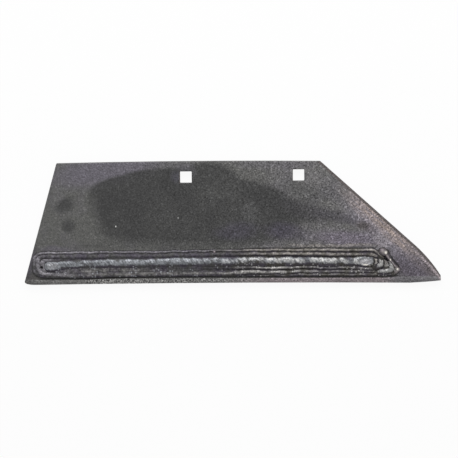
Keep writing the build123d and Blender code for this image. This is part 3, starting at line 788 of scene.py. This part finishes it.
def weldMetal():
    # as-welded hard alloy: silvery where the last run froze bright, partly with painted highlights, dark oxide
    # on the flanks, deepened there by painted shade, and soot with painted shade in the creases
    look, span = weldLook, weldLook["spans"]
    material, tree = newMaterial("hardfacingAlloy")
    add = partial(addNode, tree)
    place = ownPlace(tree)
    x, y = add("ShaderNodeSeparateXYZ", [place]).outputs[:2]
    shine, crease, ridge, side, hollow, height, lumps = [
        add("ShaderNodeAttribute", attribute_name=key).outputs["Fac"]
        for key in ("shine", "crease", "ridge", "side", "hollow", "height", "lumps")]
    noise = {key: add("ShaderNodeTexNoise", {"Vector": place, "Scale": 1 / size, "Detail": detail,
                                             "Roughness": rough})
             for key, (size, detail, rough) in look["noise"].items()}

    # shares that go by the place, by the run's own values and by the patterns
    noseward = add("ShaderNodeMapRange", [x, *span["noseward"]], **eased)
    tint, patch, grit, swarm = [
        add("ShaderNodeMapRange", [noise[key], *span[key]]) for key in ("tint", "patch", "grit", "swarm")]
    paler, lined, clean = [
        add("ShaderNodeMapRange", [x, *span[key]]) for key in ("paler", "lined", "sootShadeClean")]
    lowRows, upper, thin = [
        add("ShaderNodeMapRange", [y, *span[key]]) for key in ("lowRows", "upper", "sootShadeThin")]
    crown, smooth, uneven = [
        add("ShaderNodeMapRange", [lumps, *span[key]]) for key in ("crown", "smooth", "uneven")]
    flank, fall, lip, under = [
        add("ShaderNodeMapRange", [side, *span[key]]) for key in ("flank", "fall", "lip", "under")]
    filled, blunt, thick = [
        add("ShaderNodeMapRange", [noseward, *span[key]]) for key in ("craterFilled", "blunt", "sootShadeThick")]
    joined, sleek = [add("ShaderNodeMapRange", [smooth, *span[key]]) for key in ("joined", "sleek")]
    rim, toe = [add("ShaderNodeMapRange", [height, *span[key]]) for key in ("rim", "toe")]

    # plain metal and oxide, from the wing to the nose
    oxide = layCoats(tree, linear(look["oxideWing"]),
                     [(noseward, look["oxideNose"]), (tint, look["oxideTint"])])
    paler = add("ShaderNodeMath", [paler, lowRows], operation="MULTIPLY")
    metal = layCoats(tree, linear(look["metalWing"]),
                     [(noseward, look["metalNose"]), (paler, look["metalLow"])])

    # the crown froze in slanting strokes and in blobs, brighter than what lies between them, partly as painted
    # highlights
    turned = (0, 0, math.radians(look["strokeTurn"]))
    stroke = add("ShaderNodeMapping", {0: place, 2: turned, 3: (*look["stroke"], through)},
                 vector_type="TEXTURE")
    stroke = add("ShaderNodeTexNoise", {"Vector": stroke, "Scale": 1.0, "Detail": 2.0})
    stroke = add("ShaderNodeMath", [stroke, 0.5], operation="SUBTRACT")
    ragged = add("ShaderNodeVectorMath", [noise["blotch"].outputs["Color"], noiseMean], operation="SUBTRACT")
    ragged = add("ShaderNodeVectorMath", [ragged, (*look["ragged"], 0), place], operation="MULTIPLY_ADD")
    blob = coverSpots(tree, ragged, look["blobs"], *span["blob"])
    parts = {"stroke": stroke, "glint": noise["glint"], "blob": blob}
    light, bolder = look["lightStart"], look["bareStart"]
    for key, weight in look["crownLight"].items():
        light = add("ShaderNodeMath", [parts[key], weight, light], operation="MULTIPLY_ADD")
    for key, weight in look["crownBare"].items():
        bolder = add("ShaderNodeMath", [parts[key], weight, bolder], operation="MULTIPLY_ADD")
    sparkle = layCoats(tree, linear(look["silverWing"]), [(noseward, look["silverLight"])])
    silver = layCoats(tree, linear(look["silver"]), [(light, sparkle)])

    # crown, smooth last run with a painted highlight along its crest, and craters, each with its own metal
    back = add("ShaderNodeMapRange", [ridge, *span["lastRidgeHighlight"]])
    last = layCoats(tree, linear(look["lastRun"]), [(back, look["lastRidgeHighlight"])])
    filled = add("ShaderNodeMath", [hollow, filled], operation="MULTIPLY")
    metal = layCoats(tree, metal, [(crown, silver), (smooth, last), (filled, look["crater"])])

    # bright share: more on the ridge of a shiny run, partly as a painted highlight, and less by the toes
    # and on the flank towards the cutting edge, as painted shade
    mottle = add("ShaderNodeMath", [noise["blotch"], 0.5], operation="SUBTRACT")
    bright = shine
    for value, weight in ((mottle, uneven), (ridge, look["ridgeBareAndSheen"]), (patch, lumps),
                          (hollow, look["hollowBare"]), (bolder, crown)):
        bright = add("ShaderNodeMath", [value, weight, bright], operation="MULTIPLY_ADD")

    # painted shade: darker flanks towards the cutting edge and creases, and the crown's lower flank and upper
    # lip
    # the runs show as lines by the nose and at the upper edge, and melt into one crust by the wing
    lined = add("ShaderNodeMath", [lined, upper], operation="MAXIMUM")
    flank = add("ShaderNodeMath", [flank, crease], operation="ADD")
    for share in (lined, joined):
        flank = add("ShaderNodeMath", [flank, share], operation="MULTIPLY")
    noCrater = add("ShaderNodeMapRange", [hollow, *span["noCrater"]])
    crownDim = crease
    for value, weight in ((fall, noCrater), (lip, blunt)):
        crownDim = add("ShaderNodeMath", [value, weight, crownDim], operation="MULTIPLY_ADD")
    dim = add("ShaderNodeMix", {0: crown, 2: flank, 3: crownDim})
    bright = add("ShaderNodeMath", [bright, dim], operation="SUBTRACT")
    bare = add("ShaderNodeMapRange", [bright, *span["bare"]], **eased)
    colour = layCoats(tree, oxide, [(bare, metal)])

    # grit all over, and a coarser crust that the smooth last run hardly has
    crusted = add("ShaderNodeMapRange", [crown, *span["crusted"]])
    crusted = add("ShaderNodeMath", [crusted, sleek], operation="MULTIPLY")
    crust = add("ShaderNodeMath", [noise["crust"], 0.5], operation="SUBTRACT")
    crust = add("ShaderNodeMath", [crust, crusted, look["crustLevel"]], operation="MULTIPLY_ADD")
    for level in (grit, crust):
        colour = add("ShaderNodeVectorMath", {0: colour, "Scale": level}, operation="SCALE")

    # small bright droplets frozen on the darker runs
    cells = add("ShaderNodeTexVoronoi", {"Vector": place, "Scale": 1 / look["dot"]}, voronoi_dimensions="2D")
    chance = add("ShaderNodeSeparateXYZ", [cells.outputs["Color"]])
    dot = add("ShaderNodeMath", [chance, look["dotChance"]], operation="GREATER_THAN")
    small = add("ShaderNodeMapRange", [cells.outputs["Distance"], *span["dot"]])
    for share in (swarm, lowRows, small):
        dot = add("ShaderNodeMath", [dot, share], operation="MULTIPLY")

    # soot deepened by painted shade: in the creases, round the last run, in one hole, and as painted shadow
    # under the lower toe
    sootAndShade = add("ShaderNodeMapRange", [crease, *span["sootAndShade"]], **eased)
    for share in (thick, lined, thin, clean, joined):
        sootAndShade = add("ShaderNodeMath", [sootAndShade, share], operation="MULTIPLY")
    rim = add("ShaderNodeMath", [rim, smooth], operation="MULTIPLY")
    pitShade = add("ShaderNodeMapRange", [ellipse(tree, place, *look["pitShade"]), *span["pitShade"]])
    toe = add("ShaderNodeMath", [toe, under], operation="MULTIPLY")
    for more in (rim, pitShade, toe):
        sootAndShade = add("ShaderNodeMath", [sootAndShade, more], operation="MAXIMUM")
    glow = coverSpots(tree, place, look["glows"], *span["glow"])
    colour = layCoats(tree, colour, [(dot, sparkle), (sootAndShade, look["sootShadeColour"]), (glow, look["glow"])])

    roughness, metallic = [add("ShaderNodeMapRange", [bare, *span[key]]) for key in ("roughness", "metallic")]
    metallic = add("ShaderNodeMath", [metallic, glow], operation="SUBTRACT", use_clamp=True)
    bump = add("ShaderNodeBump", {"Height": noise["glint"], **look["bump"]})
    shader = add("ShaderNodeBsdfPrincipled", {"Base Color": colour, "Roughness": roughness,
                                              "Metallic": metallic, "Normal": bump})
    add("ShaderNodeOutputMaterial", {"Surface": shader})
    return material


def layDeposit():
    form = weldForm["inputs"]
    holder = bpy.data.objects.new("weldRunLines", runLines())
    bpy.context.collection.objects.link(holder)
    tree = weldTree(weldMetal())
    modifier = holder.modifiers.new("deposit", "NODES")
    modifier.node_group = tree
    margin = form["Bury"] + form["Step"]
    given = {
        **form,
        "Left": weldLow[0] / mm - margin,
        "Low": weldLow[1] / mm - margin,
        "Length": (weldHigh[0] - weldLow[0]) / mm + 2 * margin,
        "Width": (weldHigh[1] - weldLow[1]) / mm + 2 * margin,
        "Plate Top": plateTop / mm,
        "Run Count": len(weldRuns),
    }
    for item in tree.interface.items_tree:
        if item.in_out == "INPUT" and item.name in given:
            modifier[item.identifier] = given[item.name]
    piece = bakePiece(holder, "weld_deposit")
    shell = bmesh.new()
    shell.from_mesh(piece.data)
    bmesh.ops.holes_fill(shell, edges=[edge for edge in shell.edges if edge.is_boundary], sides=0)
    bmesh.ops.recalc_face_normals(shell, faces=shell.faces)
    shell.to_mesh(piece.data)
    shell.free()
    for polygon in piece.data.polygons:
        polygon.use_smooth = True
    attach(piece, "root")
    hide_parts("hardfacing_weld")
    print("deposit laid,", len(piece.data.vertices), "points")


def dressPlate():
    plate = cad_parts["share_plate"]
    plate.data.materials.clear()
    plate.data.materials.append(millScale())
    print("plate dressed")


placeCamera()
lightStudio()
layFloor()
dressPlate()
layDeposit()
